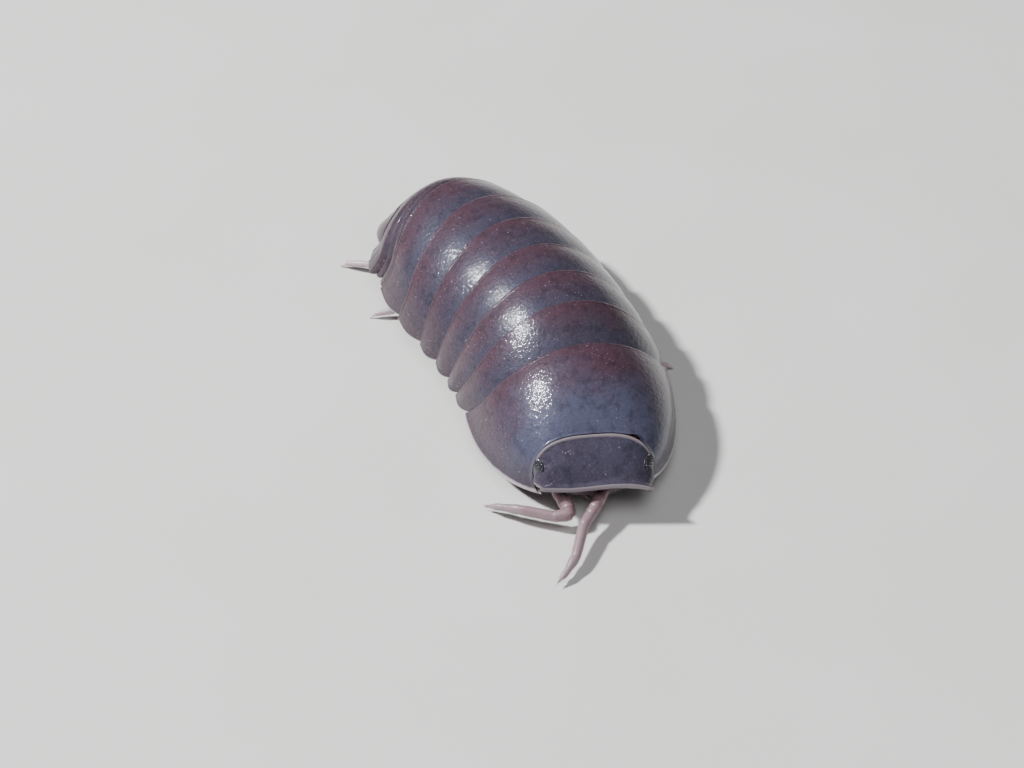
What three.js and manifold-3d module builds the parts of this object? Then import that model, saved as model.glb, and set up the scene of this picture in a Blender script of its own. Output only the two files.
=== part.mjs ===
// A pill woodlouse, life size, standing on fourteen short legs with its body gently curved.
// Millimetres, +Z up, floor at z = 0. The animal is laid out straight, head toward -Y and its
// left side toward +X, and every solid is then bent sideways along one curved middle line.
import * as THREE from "three";
import Module from "manifold-3d";

const wasm = await Module();
wasm.setup();

// Sizes shared by the whole animal.
const GAP = 0.3;             // clear space between neighbouring solids
const STEP = 0.1;            // drop from the rear edge of one plate to the front of the next
const SWELL = 0.06;          // how far each plate bulges between its two edges
const RIM = 0.52;            // thickness of a side plate at its lower edge
const CORE_Z = 2.2;          // underside of the trunk between the side plates
const CORE_X = 2.35;         // half width of that underside
const SLANT = 0.35;          // how far a plate's rear edge overhangs the face below it
const EASE = 0.13;           // extra clearance deep between two plates
const SPREAD = 1.006;        // exponent of the sideways shape of a plate edge
const ARCH = 1.362;          // exponent of the height shape of a plate edge
const SIDE_STEPS = 28;       // facets from one lower edge over the back to the other
const FOLD = 60;             // angle where the trunk's underside meets the side plates
const CURVE_A = -0.046;      // sideways curve of the middle line, per mm
const CURVE_B = 0.002;       // change of that curve along the body
const CURVE_END = 9;         // the middle line is straight beyond this distance

// rear edges of the seven trunk plates, front to back
const EDGE = [
  { w: 3.671, crown: 4.167, y: -4.026, sweep: 0.166, lobe: 0.773 },
  { w: 3.722, crown: 4.671, y: -2.445, sweep: -0.135, lobe: 0.71 },
  { w: 3.724, crown: 4.724, y: -0.911, sweep: -0.445, lobe: 0.403 },
  { w: 3.755, crown: 4.592, y: 0.721, sweep: -0.812, lobe: 0.318 },
  { w: 3.829, crown: 4.459, y: 2.454, sweep: -1.178, lobe: 0.259 },
  { w: 3.803, crown: 4.211, y: 4.234, sweep: -1.344, lobe: 0.588 },
  { w: 3.414, crown: 3.833, y: 6.008, sweep: -1.378, lobe: 0.825 },
];
const SIDE_Z = 1.017;        // lower edge of the side plates above the floor

// front edge of the first plate, which holds the head like a hood
const HOOD = { x: 2.45, low: 0.92, top: 2.9, y: -6.85, reach: 0.88, tuck: 0.24, bulge: 0.2, dip: 0.28 };

// rear edges of the five short tail plates
const TAIL = [
  { w: 3.16, crown: 3.68, y: 6.32, sweep: -1.3, lobe: 0.75, low: 1.12, core: 2.1, coreZ: 2.12 },
  { w: 3.12, crown: 3.48, y: 6.62, sweep: -1.22, lobe: 0.75, low: 1.08, core: 2.0, coreZ: 2.06 },
  { w: 3.2, crown: 3.23, y: 6.9, sweep: -1.0, lobe: 0.7, low: 1.0, core: 1.85, coreZ: 2.0 },
  { w: 2.78, crown: 2.92, y: 7.18, sweep: -0.6, lobe: 0.56, low: 1.0, core: 1.6, coreZ: 1.9 },
  { w: 2.25, crown: 2.63, y: 7.43, sweep: -0.35, lobe: 0.45, low: 1.0, core: 1.42, coreZ: 1.86 },
];

const colour = {
  shell: 0x6a5a6e, shellRear: 0x6f5a67, tail: 0x74606c, head: 0x5d5768, eye: 0x17161c,
  feeler: 0xc2a4b0, leg: 0xc9b3ba, gill: 0xd8ccd0, mouth: 0xa8909c,
};
const material = (hex, roughness) => new THREE.MeshStandardMaterial({ color: hex, roughness, metalness: 0 });

const clamp = (v, a, b) => Math.min(b, Math.max(a, v));
const mix = (a, b, t) => a + (b - a) * t;
const rad = (deg) => (deg * Math.PI) / 180;

// The curved middle line.
function heading(y) {
  const v = clamp(y, -CURVE_END, CURVE_END);
  return CURVE_A * v + 0.5 * CURVE_B * v * v;
}
function middle(y) {
  const steps = 40;
  const h = y / steps;
  let cx = 0;
  let cy = 0;
  for (let i = 0; i < steps; i += 1) {
    const a = heading(h * (i + 0.5));
    cx += Math.sin(a) * h;
    cy += Math.cos(a) * h;
  }
  return [cx, cy];
}
function bend([x, y, z]) {
  const a = heading(y);
  const [cx, cy] = middle(y);
  return [cx + x * Math.cos(a), cy - x * Math.sin(a), z];
}

// Closed solids from rings of points.
// Every ring has the same even count; the two ends are closed by pairing point i with n-1-i.
function ringSolid(rings) {
  const n = rings[0].length;
  const points = rings.flat().map(bend);
  const faces = [];
  for (let r = 0; r + 1 < rings.length; r += 1) {
    for (let i = 0; i < n; i += 1) {
      const j = (i + 1) % n;
      const a = r * n + i;
      const b = r * n + j;
      faces.push([a, b, b + n], [a, b + n, a + n]);
    }
  }
  const last = (rings.length - 1) * n;
  for (let i = 0; i < n / 2 - 1; i += 1) {
    const k = n - 1 - i;
    faces.push([i, k, k - 1], [i, k - 1, i + 1]);
    faces.push([last + i, last + k - 1, last + k], [last + i, last + i + 1, last + k - 1]);
  }
  return orient({ points, faces });
}
function orient(solid) {
  let volume = 0;
  for (const [a, b, c] of solid.faces) {
    const [p, q, r] = [solid.points[a], solid.points[b], solid.points[c]];
    volume += p[0] * (q[1] * r[2] - q[2] * r[1]);
    volume -= p[1] * (q[0] * r[2] - q[2] * r[0]);
    volume += p[2] * (q[0] * r[1] - q[1] * r[0]);
  }
  if (volume < 0) solid.faces = solid.faces.map(([a, b, c]) => [a, c, b]);
  return solid;
}
const toManifold = (solid) => new wasm.Manifold(new wasm.Mesh({
  numProp: 3,
  vertProperties: new Float32Array(solid.points.flat()),
  triVerts: new Uint32Array(solid.faces.flat()),
}));
function fromManifold(body) {
  const pieces = body.decompose();
  pieces.sort((a, b) => b.volume() - a.volume());
  const mesh = pieces[0].getMesh();
  const points = [];
  for (let i = 0; i < mesh.numVert; i += 1) {
    points.push(Array.from(mesh.vertProperties.slice(i * mesh.numProp, i * mesh.numProp + 3)));
  }
  const faces = [];
  for (let i = 0; i < mesh.numTri; i += 1) faces.push(Array.from(mesh.triVerts.slice(i * 3, i * 3 + 3)));
  return { points, faces };
}

// Plates.
// Point on a rear edge at an angle across the back: -90 is the right lower edge, 90 the left one.
function edgePoint(edge, deg) {
  const s = Math.sin(rad(deg));
  const c = Math.cos(rad(deg));
  const across = Math.sign(s) * Math.abs(s) ** SPREAD;
  const up = Math.max(c, 0) ** ARCH;
  const low = edge.low ?? SIDE_Z;
  const v = 1 - up;
  const y = edge.y + edge.sweep * v + edge.lobe * clamp((v - 0.6) / 0.4, 0, 1) ** 1.5;
  return [edge.w * across, y, low + (edge.crown - low) * up];
}
function hoodPoint(deg) {
  const s = Math.sin(rad(Math.abs(deg)));
  const c = Math.max(Math.cos(rad(deg)), 0);
  const tuck = 1 - HOOD.tuck * clamp((Math.abs(deg) - 55) / 35, 0, 1) ** 2;
  const x = Math.sign(deg) * HOOD.x * s ** 0.9 * tuck;
  return [x, HOOD.y - HOOD.reach * (1 - c) ** 8, HOOD.low + (HOOD.top - HOOD.low) * c];
}
// How far behind an edge the next solid starts, so that the gap is the same where the edge slopes.
function gapBehind(edge, deg) {
  const a = edgePoint(edge, clamp(deg - 4, -90, 90));
  const b = edgePoint(edge, clamp(deg + 4, -90, 90));
  const flat = Math.hypot(b[0] - a[0], b[2] - a[2]);
  const full = Math.hypot(flat, b[1] - a[1]);
  return GAP * clamp(full / flat, 1, 1.5);
}
// The same point drawn a little inward, toward a line inside the body.
function inset([x, y, z], depth) {
  const dx = x;
  const dz = z - 1.6;
  const d = Math.hypot(dx, dz);
  return [x - (dx / d) * depth, y, z - (dz / d) * depth];
}
const angles = Array.from({ length: SIDE_STEPS + 1 }, (_, i) => -90 + (180 * i) / SIDE_STEPS);

// One ring: the outer surface from side to side, then the inner surface back again.
function plateRing(outer, coreX, coreZ, slant) {
  const low = [outer[0], outer[outer.length - 1]];
  const inner = angles.map((deg, i) => {
    const side = Math.sign(deg);
    const f = clamp((Math.abs(deg) - FOLD) / (90 - FOLD), 0, 1);
    const rim = deg < 0 ? low[0] : low[1];
    const y = outer[i][1] - slant * (1 - f);
    if (f > 0) return [mix(side * coreX, rim[0] - side * RIM, f), y, mix(coreZ, rim[2] + 0.02, f)];
    return [(coreX * deg) / FOLD, y, coreZ];
  });
  return [...outer, ...inner.reverse()];
}

function trunkPlate(k) {
  const rows = k === 0 ? 7 : 4;
  const rings = [];
  for (let r = 0; r <= rows; r += 1) {
    const t = r / rows;
    const outer = angles.map((deg) => {
      const rear = edgePoint(EDGE[k], deg);
      const v = 1 - Math.cos(rad(deg)) ** ARCH;
      const hump = Math.sin(Math.PI * t);
      if (k === 0) {
        const front = hoodPoint(deg);
        const widen = Math.sin((Math.PI * t) / 2) ** (0.75 - HOOD.bulge * v ** 4);
        const rise = Math.sin((Math.PI * t) / 2) ** 0.85;
        return [
          mix(front[0], rear[0], widen),
          mix(front[1], rear[1], t),
          mix(front[2], rear[2], rise) - HOOD.dip * hump * v ** 6,
        ];
      }
      const front = inset(edgePoint(EDGE[k - 1], deg), STEP);
      const p = [mix(front[0], rear[0], t), mix(front[1] + gapBehind(EDGE[k - 1], deg), rear[1], t), mix(front[2], rear[2], t)];
      const q = inset(p, -SWELL * hump);
      return [q[0] + Math.sign(deg) * 0.1 * hump * v ** 4, q[1], q[2] - 0.1 * hump * v ** 6];
    });
    const coreX = k === 0 ? mix(1.78, CORE_X, Math.sin((Math.PI * t) / 2)) : CORE_X - (k === 6 ? 0.2 * t : 0);
    const slant = k === 0 ? mix(-0.25, SLANT, t) : mix(SLANT - EASE, SLANT, t);
    rings.push(plateRing(outer, coreX, CORE_Z, slant));
  }
  return ringSolid(rings);
}

function tailSolid() {
  const rings = [];
  let before = { ...EDGE[6], low: SIDE_Z, core: 2.15, coreZ: CORE_Z };
  TAIL.forEach((edge, j) => {
    const slant = mix(SLANT, 0.2, j / TAIL.length);
    const front = angles.map((deg) => {
      const p = inset(edgePoint(before, deg), STEP);
      return [p[0], p[1] + (j === 0 ? gapBehind(before, deg) : 0.04), p[2]];
    });
    const rear = angles.map((deg) => edgePoint(edge, deg));
    rings.push(plateRing(front, before.core, before.coreZ, j === 0 ? slant - 1.3 * EASE : slant));
    rings.push(plateRing(rear, edge.core, edge.coreZ, mix(SLANT, 0.2, (j + 1) / TAIL.length)));
    before = edge;
  });
  return ringSolid(rings);
}

// Head.
// Sections from the neck to the brow: half width, crown, side top, side bottom, then the
// half width, shoulder height and lowest height of the underside.
const HEAD_SECTIONS = [
  { y: -6.62, w: 1.2, top: 1.82, side: 1.68, under: 1.55, bw: 1.05, shoulder: 1.42, low: 1.3 },
  { y: -6.98, w: 1.35, top: 2.1, side: 1.76, under: 1.58, bw: 1.1, shoulder: 1.42, low: 1.18 },
  { y: -7.14, w: 1.8, top: 2.64, side: 1.84, under: 1.6, bw: 1.26, shoulder: 1.42, low: 1.12 },
  { y: -7.19, w: 2.03, top: 2.75, side: 1.88, under: 1.6, bw: 1.26, shoulder: 1.42, low: 1.1 },
  { y: -7.27, w: 2.09, top: 2.69, side: 1.87, under: 1.58, bw: 1.26, shoulder: 1.42, low: 1.07 },
  { y: -7.34, w: 2.07, top: 2.58, side: 1.82, under: 1.55, bw: 1.26, shoulder: 1.41, low: 1.04 },
  { y: -7.55, w: 2.0, top: 2.46, side: 1.82, under: 1.54, bw: 1.26, shoulder: 1.36, low: 0.95 },
  { y: -7.78, w: 1.84, top: 2.29, side: 1.79, under: 1.52, bw: 1.26, shoulder: 1.28, low: 0.86 },
  { y: -8.03, w: 1.72, top: 2.05, side: 1.74, under: 1.5, bw: 1.5, shoulder: 1.48, low: 1.48 },
  { y: -8.2, w: 1.72, top: 1.88, side: 1.7, under: 1.48, bw: 1.55, shoulder: 1.46, low: 1.48 },
  { y: -8.29, w: 1.8, top: 1.92, side: 1.73, under: 1.47, bw: 1.6, shoulder: 1.46, low: 1.48 },
  { y: -8.4, w: 1.84, top: 1.86, side: 1.68, under: 1.5, bw: 1.66, shoulder: 1.5, low: 1.52 },
];
const EYE = { x: 1.8, y: -7.56, z: 2.03, long: 0.29, wide: 0.22, deep: 0.2, clear: 0.2 };

function headSection(s) {
  const count = 20;
  const top = [];
  const bottom = [];
  for (let i = 0; i <= count; i += 1) {
    const deg = -90 + (180 * i) / count;
    const side = Math.sign(deg);
    const a = Math.abs(deg);
    const c = Math.max(Math.cos(rad(deg)), 0);
    top.push([s.w * Math.sin(rad(deg)), s.y, s.side + (s.top - s.side) * c ** 0.9]);
    const f = clamp((a - 63) / 27, 0, 1);
    const g = clamp(a / 63, 0, 1);
    const x = f > 0 ? mix(s.bw, s.w, f) : s.bw * Math.sin((g * Math.PI) / 2);
    const z = f > 0 ? mix(s.shoulder, s.under, f) : mix(s.low, s.shoulder, 1 - Math.cos((g * Math.PI) / 2));
    bottom.push([side * x, s.y, z]);
  }
  return [...top, ...bottom.reverse()];
}
// An ellipsoid whose long axis runs fore and aft and whose short axis points out of the head.
function ellipsoid([cx, cy, cz], [rx, ry, rz], tilt, rings, sides) {
  const sections = [];
  for (let r = 0; r <= rings; r += 1) {
    const a = mix(-0.94, 0.94, r / rings) * (Math.PI / 2);
    const ring = [];
    for (let i = 0; i < sides; i += 1) {
      const b = (2 * Math.PI * (i + 0.5)) / sides;
      const lx = rx * Math.cos(a) * Math.cos(b);
      const lz = rz * Math.cos(a) * Math.sin(b);
      const x = lx * Math.cos(tilt) - lz * Math.sin(tilt);
      const z = lx * Math.sin(tilt) + lz * Math.cos(tilt);
      ring.push([cx + x, cy + ry * Math.sin(a), cz + z]);
    }
    sections.push(ring);
  }
  return ringSolid(sections);
}
const eyeSolid = (side, grow, rings, sides) => ellipsoid(
  [side * EYE.x, EYE.y, EYE.z],
  [EYE.deep + grow, EYE.long + grow, EYE.wide + grow],
  side > 0 ? rad(42) : rad(180 - 42), rings, sides,
);
function headSolid() {
  let body = toManifold(ringSolid(HEAD_SECTIONS.map(headSection)));
  for (const side of [-1, 1]) body = body.subtract(toManifold(eyeSolid(side, EYE.clear, 6, 10)));
  return fromManifold(body);
}

// Limbs: a jointed tube through a list of points, each with its radius.
const v3 = (p) => new THREE.Vector3(...p);
function limb(stations, sides, flatEnd) {
  const at = stations.map((s) => v3(s.p));
  const dir = (i) => at[i + 1].clone().sub(at[i]).normalize();
  const rings = [];
  let across = null;
  for (let i = 0; i < at.length; i += 1) {
    const before = i > 0 ? dir(i - 1) : dir(0);
    const after = i < at.length - 1 ? dir(i) : dir(i - 1);
    const normal = before.clone().add(after).normalize();
    if (!across) {
      const helper = Math.abs(before.x) < 0.8 ? new THREE.Vector3(1, 0, 0) : new THREE.Vector3(0, 0, 1);
      across = helper.sub(before.clone().multiplyScalar(helper.dot(before))).normalize();
    }
    // carry the first direction along the path, then slide it onto the mitre plane
    across = across.clone().sub(before.clone().multiplyScalar(across.dot(before))).normalize();
    const other = before.clone().cross(across);
    const ring = [];
    for (let k = 0; k < sides; k += 1) {
      const a = (2 * Math.PI * (k + 0.5)) / sides;
      const q = across.clone().multiplyScalar(Math.cos(a) * stations[i].r);
      q.addScaledVector(other, Math.sin(a) * stations[i].r);
      q.addScaledVector(before, -q.dot(normal) / before.dot(normal));
      q.add(at[i]);
      ring.push([q.x, q.y, q.z]);
    }
    if (i === 0 && stations[0].flat) ring.forEach((q) => { q[2] = stations[0].p[2]; });
    if (i === at.length - 1 && flatEnd) {
      ring.forEach((q, k) => {
        const a = Math.atan2(q[1] - at[i].y, q[0] - at[i].x);
        ring[k] = [at[i].x + Math.cos(a) * stations[i].r, at[i].y + Math.sin(a) * stations[i].r, 0];
      });
    }
    rings.push(ring);
    const bendTurn = new THREE.Quaternion().setFromUnitVectors(before, after);
    across.applyQuaternion(bendTurn);
  }
  return ringSolid(rings);
}
// Adds two stations inside every article, so that each swells between its joints.
function articled(joints, swell) {
  const stations = [];
  joints.forEach((j, i) => {
    stations.push(j);
    const next = joints[i + 1];
    if (!next || j.plain) return;
    for (const t of [0.3, 0.8]) {
      const p = j.p.map((v, c) => mix(v, next.p[c], t));
      stations.push({ p, r: mix(j.r, next.r, t) * (t < 0.5 ? 1 : swell) });
    }
  });
  return stations;
}

// Root, knee and foot of each leg. Side is -1 for the right and 1 for the left.
const LEG_TOP = CORE_Z - GAP;
const LEGS = [
  { x: 1.78, y: -5.0, knee: [0.9, -5.2], foot: { r: [2.45, -6.1], l: [2.4, -5.95] } },
  { x: 1.98, y: -3.5, knee: [1.0, -3.6], foot: { r: [2.85, -4.55], l: [2.9, -4.3] } },
  { x: 1.98, y: -2.18, knee: [1.0, -2.15], foot: { r: [2.9, -2.65], l: [4.42, -2.55] } },
  { x: 1.98, y: -0.78, knee: [1.0, -0.68], foot: { r: [2.9, -1.0], l: [2.95, -0.7] } },
  { x: 1.98, y: 0.7, knee: [1.0, 0.9], foot: { r: [2.9, 1.15], l: [2.95, 1.45] } },
  { x: 1.98, y: 2.3, knee: [1.0, 2.65], foot: { r: [4.1, 5.25], l: [3.0, 3.4] } },
  { x: 1.84, y: 4.05, knee: [1.12, 4.75], foot: { r: [3.12, 8.62], l: [2.85, 6.1] } },
];
function legSolid(n, side) {
  const leg = LEGS[n];
  const foot = side < 0 ? leg.foot.r : leg.foot.l;
  const kx = leg.knee[0];
  const ky = leg.knee[1];
  const far = Math.hypot(foot[0] - kx, foot[1] - ky);
  const stretched = far > 2.9;
  const along = (t, z) => [side * mix(kx, foot[0], t), mix(ky, foot[1], t), z];
  const shin = stretched ? 0.42 : 0.62;
  const joints = [
    { p: [side * leg.x, leg.y, LEG_TOP], r: 0.28, flat: true, plain: true },
    { p: [side * (leg.x - 0.02), leg.y + 0.02, LEG_TOP - 0.38], r: 0.27 },
    { p: [side * (kx - 0.04), mix(leg.y, ky, 0.95), 1.42], r: 0.26, plain: true },
    { p: [side * (kx - 0.06), ky, 0.9], r: 0.25 },
    { p: along(stretched ? 0.36 : 0.4, stretched ? 0.6 : 0.74), r: 0.25 },
    { p: along(stretched ? 0.72 : 0.84, shin), r: 0.25, plain: true },
    { p: along(stretched ? 0.93 : 0.97, stretched ? 0.3 : 0.27), r: 0.2, plain: true },
    { p: along(1, 0), r: 0.13 },
  ];
  return limb(articled(joints, 1.07), 8, true);
}

const FEELERS = {
  antenna_right: [
    { p: [-1.24, -8.25, 0.99], r: 0.27, plain: true },
    { p: [-1.06, -8.45, 0.85], r: 0.26, plain: true },
    { p: [-1.1, -8.74, 0.7], r: 0.25, plain: true },
    { p: [-1.42, -8.73, 0.68], r: 0.25 },
    { p: [-2.45, -8.45, 0.72], r: 0.25 },
    { p: [-3.05, -8.13, 0.55], r: 0.25 },
    { p: [-3.62, -7.75, 0.3], r: 0.12 },
  ],
  antenna_left: [
    { p: [0.7, -8.25, 0.96], r: 0.26, plain: true },
    { p: [0.44, -8.45, 0.93], r: 0.26 },
    { p: [0.1, -8.56, 0.9], r: 0.26, plain: true },
    { p: [-0.13, -8.73, 0.86], r: 0.26 },
    { p: [-0.46, -9.14, 0.76], r: 0.25 },
    { p: [-0.61, -10.3, 0.5], r: 0.25 },
    { p: [-0.89, -10.82, 0.38], r: 0.22, plain: true },
    { p: [-1.16, -11.17, 0.27], r: 0.12 },
  ],
};

// Tail plate, side plates of the tail fan, gill flaps and mouthparts.
function boxRing(y, x0, x1, z0, z1, round) {
  const w = (x1 - x0) / 2;
  const h = (z1 - z0) / 2;
  const cx = (x0 + x1) / 2;
  const cz = (z0 + z1) / 2;
  const ring = [];
  for (let k = 0; k < 12; k += 1) {
    const a = Math.PI - (Math.PI * 2 * (k + 0.5)) / 12;
    const c = Math.cos(a);
    const s = Math.sin(a);
    const e = 2 / round;
    ring.push([cx + Math.sign(c) * Math.abs(c) ** e * w, y, cz + Math.sign(s) * Math.abs(s) ** e * h]);
  }
  return ring;
}
function backHeight(y) {
  const u = y - EDGE[6].y;
  return EDGE[6].crown - 0.41 * u - 0.29 * u * u;
}
function telsonSolid() {
  const stations = [
    { y: 7.74, half: 0.98, depth: 0.42, dy: -0.08, drop: 0.2 },
    { y: 7.88, half: 0.82, depth: 0.44, dy: -0.16, drop: 0.16 },
    { y: 8.04, half: 0.68, depth: 0.42, dy: -0.26, drop: 0.12 },
    { y: 8.22, half: 0.66, depth: 0.36, dy: -0.34, drop: 0.1 },
    { y: 8.4, half: 0.7, depth: 0.26, dy: -0.42, drop: 0.1 },
  ];
  const rings = stations.map((s) => {
    const top = [];
    const under = [];
    for (let i = 0; i <= 8; i += 1) {
      const u = -1 + (2 * i) / 8;
      const z = backHeight(s.y) - s.drop * u * u;
      top.push([s.half * u, s.y, z]);
      under.push([s.half * u, s.y + s.dy, z - s.depth]);
    }
    return [...top, ...under.reverse()];
  });
  return ringSolid(rings);
}
function uropodSolid(side) {
  const sections = [
    [7.3, 0.93, 1.24, 1.04, 1.44], [7.72, 0.98, 1.28, 1.0, 1.42], [7.84, 0.99, 1.66, 0.96, 1.5],
    [8.04, 0.98, 1.68, 0.94, 1.42], [8.2, 0.98, 1.52, 0.94, 1.3], [8.32, 1.0, 1.34, 0.96, 1.18],
  ];
  return ringSolid(sections.map(([y, a, b, z0, z1]) => boxRing(y, side * a, side * b, z0, z1, 3.2)));
}
const GILLS = { from: 5.42, pitch: 0.33, count: 5, inner: 0.16, half: 0.95, widen: 0.09 };
function gillSolid(side) {
  const rings = [];
  for (let i = 0; i < GILLS.count; i += 1) {
    const y = GILLS.from + GILLS.pitch * i;
    const outer = GILLS.half + GILLS.widen * i;
    const top = 1.75 - 0.07 * i;
    rings.push(boxRing(y, side * GILLS.inner, side * outer, 1.3, top, 2.6));
    rings.push(boxRing(y + GILLS.pitch - 0.04, side * GILLS.inner, side * (outer + 0.04), 1.12, top - 0.04, 2.6));
  }
  return ringSolid(rings);
}
function mouthSolid() {
  const sections = [
    [-7.0, 0.35, 0.34, 0.74], [-7.2, 0.62, 0.26, 0.76], [-7.5, 0.66, 0.2, 0.66], [-7.74, 0.5, 0.2, 0.56],
  ];
  return ringSolid(sections.map(([y, half, z0, z1]) => boxRing(y, -half, half, z0, z1, 2.4)));
}

// Assembly.
const woodlouse = new THREE.Group();
woodlouse.name = "pill_woodlouse";
const made = [];
function add(name, solid, hex, roughness) {
  made.push({ name, solid, look: material(hex, roughness) });
}
for (let k = 0; k < EDGE.length; k += 1) {
  add(`pereonite_${k + 1}`, trunkPlate(k), k < 3 ? colour.shell : colour.shellRear, 0.32);
}
add("pleon", tailSolid(), colour.tail, 0.35);
add("telson", telsonSolid(), colour.tail, 0.35);
add("head", headSolid(), colour.head, 0.34);
add("mouthparts", mouthSolid(), colour.mouth, 0.5);
for (const [side, word] of [[-1, "right"], [1, "left"]]) {
  add(`eye_${word}`, eyeSolid(side, 0, 8, 12), colour.eye, 0.15);
  add(`uropod_${word}`, uropodSolid(side), colour.tail, 0.4);
  add(`pleopods_${word}`, gillSolid(side), colour.gill, 0.5);
  for (let n = 0; n < LEGS.length; n += 1) add(`leg_${word}_${n + 1}`, legSolid(n, side), colour.leg, 0.45);
}
for (const [name, joints] of Object.entries(FEELERS)) {
  add(name, limb(articled(joints, 1.06), 8, false), colour.feeler, 0.42);
}

// The whole animal is moved so that the origin is the middle of its footprint.
const box = new THREE.Box3();
for (const { solid } of made) for (const p of solid.points) box.expandByPoint(v3(p));
const centre = box.getCenter(new THREE.Vector3());
for (const { name, solid, look } of made) {
  const geometry = new THREE.BufferGeometry();
  const flat = solid.points.flatMap(([x, y, z]) => [x - centre.x, y - centre.y, z - box.min.z]);
  geometry.setAttribute("position", new THREE.Float32BufferAttribute(flat, 3));
  geometry.setIndex(solid.faces.flat());
  geometry.computeVertexNormals();
  const mesh = new THREE.Mesh(geometry, look);
  mesh.name = name;
  woodlouse.add(mesh);
}
woodlouse.userData.middle = centre.toArray();
export default woodlouse;
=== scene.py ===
# A pill woodlouse, life size, standing on a plain pale floor.
# Sizes are in millimetres along a straight body: x to the animal's left, y to its tail, z up.
# place() bends the body along its middle line and turns millimetres to the frame's metres. The
# plates, skin, legs and feelers follow the same middle line and plate edges as the solids.
import math
import random
import re

import bpy
import numpy as np
from mathutils import Matrix, Vector


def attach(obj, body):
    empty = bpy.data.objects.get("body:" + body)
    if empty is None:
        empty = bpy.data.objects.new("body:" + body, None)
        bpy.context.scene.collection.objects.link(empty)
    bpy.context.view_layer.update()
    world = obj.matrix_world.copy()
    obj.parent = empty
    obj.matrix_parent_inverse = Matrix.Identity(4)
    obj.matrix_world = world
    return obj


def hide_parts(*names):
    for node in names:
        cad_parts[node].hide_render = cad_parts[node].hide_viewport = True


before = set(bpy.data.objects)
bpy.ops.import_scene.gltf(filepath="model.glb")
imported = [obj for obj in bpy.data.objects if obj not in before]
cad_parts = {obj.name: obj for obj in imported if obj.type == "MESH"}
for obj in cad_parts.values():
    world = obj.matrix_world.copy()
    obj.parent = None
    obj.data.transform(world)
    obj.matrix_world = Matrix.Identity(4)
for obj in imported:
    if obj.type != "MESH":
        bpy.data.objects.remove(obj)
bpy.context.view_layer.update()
random.seed(11)

MM = 0.001
MIDDLE = np.array([-0.28172, -0.77547])      # middle of the footprint on the bent middle line
SIDES = ((-1, "right"), (1, "left"))         # sign of x and word for each of the animal's sides

# The bent middle line: its turn per mm at the middle, the change of that turn per mm, and how far
# from the middle the body stops bending.
TURN, TURN_CHANGE, BEND_END = -0.046, 0.002, 9.0
LINE_Y = np.linspace(-13, 13, 1041)
BENT_Y = np.clip(LINE_Y, -BEND_END, BEND_END)
LINE_ANGLE = TURN * BENT_Y + 0.5 * TURN_CHANGE * BENT_Y ** 2


def running_sum(values):
    """The area under values along the middle line, counted from the middle."""
    step = LINE_Y[1] - LINE_Y[0]
    total = np.concatenate([[0], np.cumsum((values[1:] + values[:-1]) * step / 2)])
    return total - np.interp(0, LINE_Y, total)


LINE_X, LINE_FORWARD = running_sum(np.sin(LINE_ANGLE)), running_sum(np.cos(LINE_ANGLE))


def place(points):
    """Straight body points in mm become bent points in the row frame, in metres."""
    p = np.asarray(points, float)
    angle = np.interp(p[..., 1], LINE_Y, LINE_ANGLE)
    line_x = np.interp(p[..., 1], LINE_Y, LINE_X)
    line_y = np.interp(p[..., 1], LINE_Y, LINE_FORWARD)
    x = line_x + p[..., 0] * np.cos(angle) - MIDDLE[0]
    y = line_y - p[..., 0] * np.sin(angle) - MIDDLE[1]
    return np.stack([x, y, p[..., 2]], -1) * MM


# Mesh making. Each point carries a zone of three marks that the materials read: on a plate, how far
# from the front, how far down the side and how near a pale edge; on a limb, how near the tip, how
# far along its article and how near a joint.
def make(name, points, faces, zone, look, stands_for):
    mesh = bpy.data.meshes.new(name)
    mesh.from_pydata(points.tolist(), [], [tuple(int(i) for i in face) for face in faces])
    mesh.validate()
    mesh.shade_smooth()
    layer = mesh.color_attributes.new(name="zone", type="FLOAT_COLOR", domain="POINT")
    marks = np.ones((len(mesh.vertices), 4), np.float32)
    marks[:, :3] = zone
    layer.data.foreach_set("color", marks.ravel())
    mesh.materials.append(look)
    obj = bpy.data.objects.new(name, mesh)
    bpy.context.scene.collection.objects.link(obj)
    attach(obj, "root")
    if stands_for:
        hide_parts(*stands_for)


def grid_faces(rows, columns, start=0, flip=False, closed=False):
    """Quads between neighbouring rows of points; closed joins the last column to the first."""
    faces = []
    last = columns if closed else columns - 1
    for r in range(rows - 1):
        for c in range(last):
            d = (c + 1) % columns
            quad = [start + r * columns + c, start + r * columns + d,
                    start + (r + 1) * columns + d, start + (r + 1) * columns + c]
            faces.append(quad[::-1] if flip else quad)
    return faces


def normals_of(grid):
    """Unit normals of a grid of points."""
    along = np.gradient(grid, axis=0)
    across = np.gradient(grid, axis=1)
    n = np.cross(across, along)
    return n / np.maximum(np.linalg.norm(n, axis=-1, keepdims=True), 1e-12)


def upward_normals(grid):
    n = normals_of(grid)
    return -n if np.mean(n[..., 2]) < 0 else n


def smooth_step(v, low, high):
    t = np.clip((v - low) / (high - low), 0, 1)
    return t * t * (3 - 2 * t)


def mix(a, b, t):
    return a + (b - a) * t


def round_angles(count):
    return np.linspace(0, 2 * np.pi, count, endpoint=False)


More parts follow.
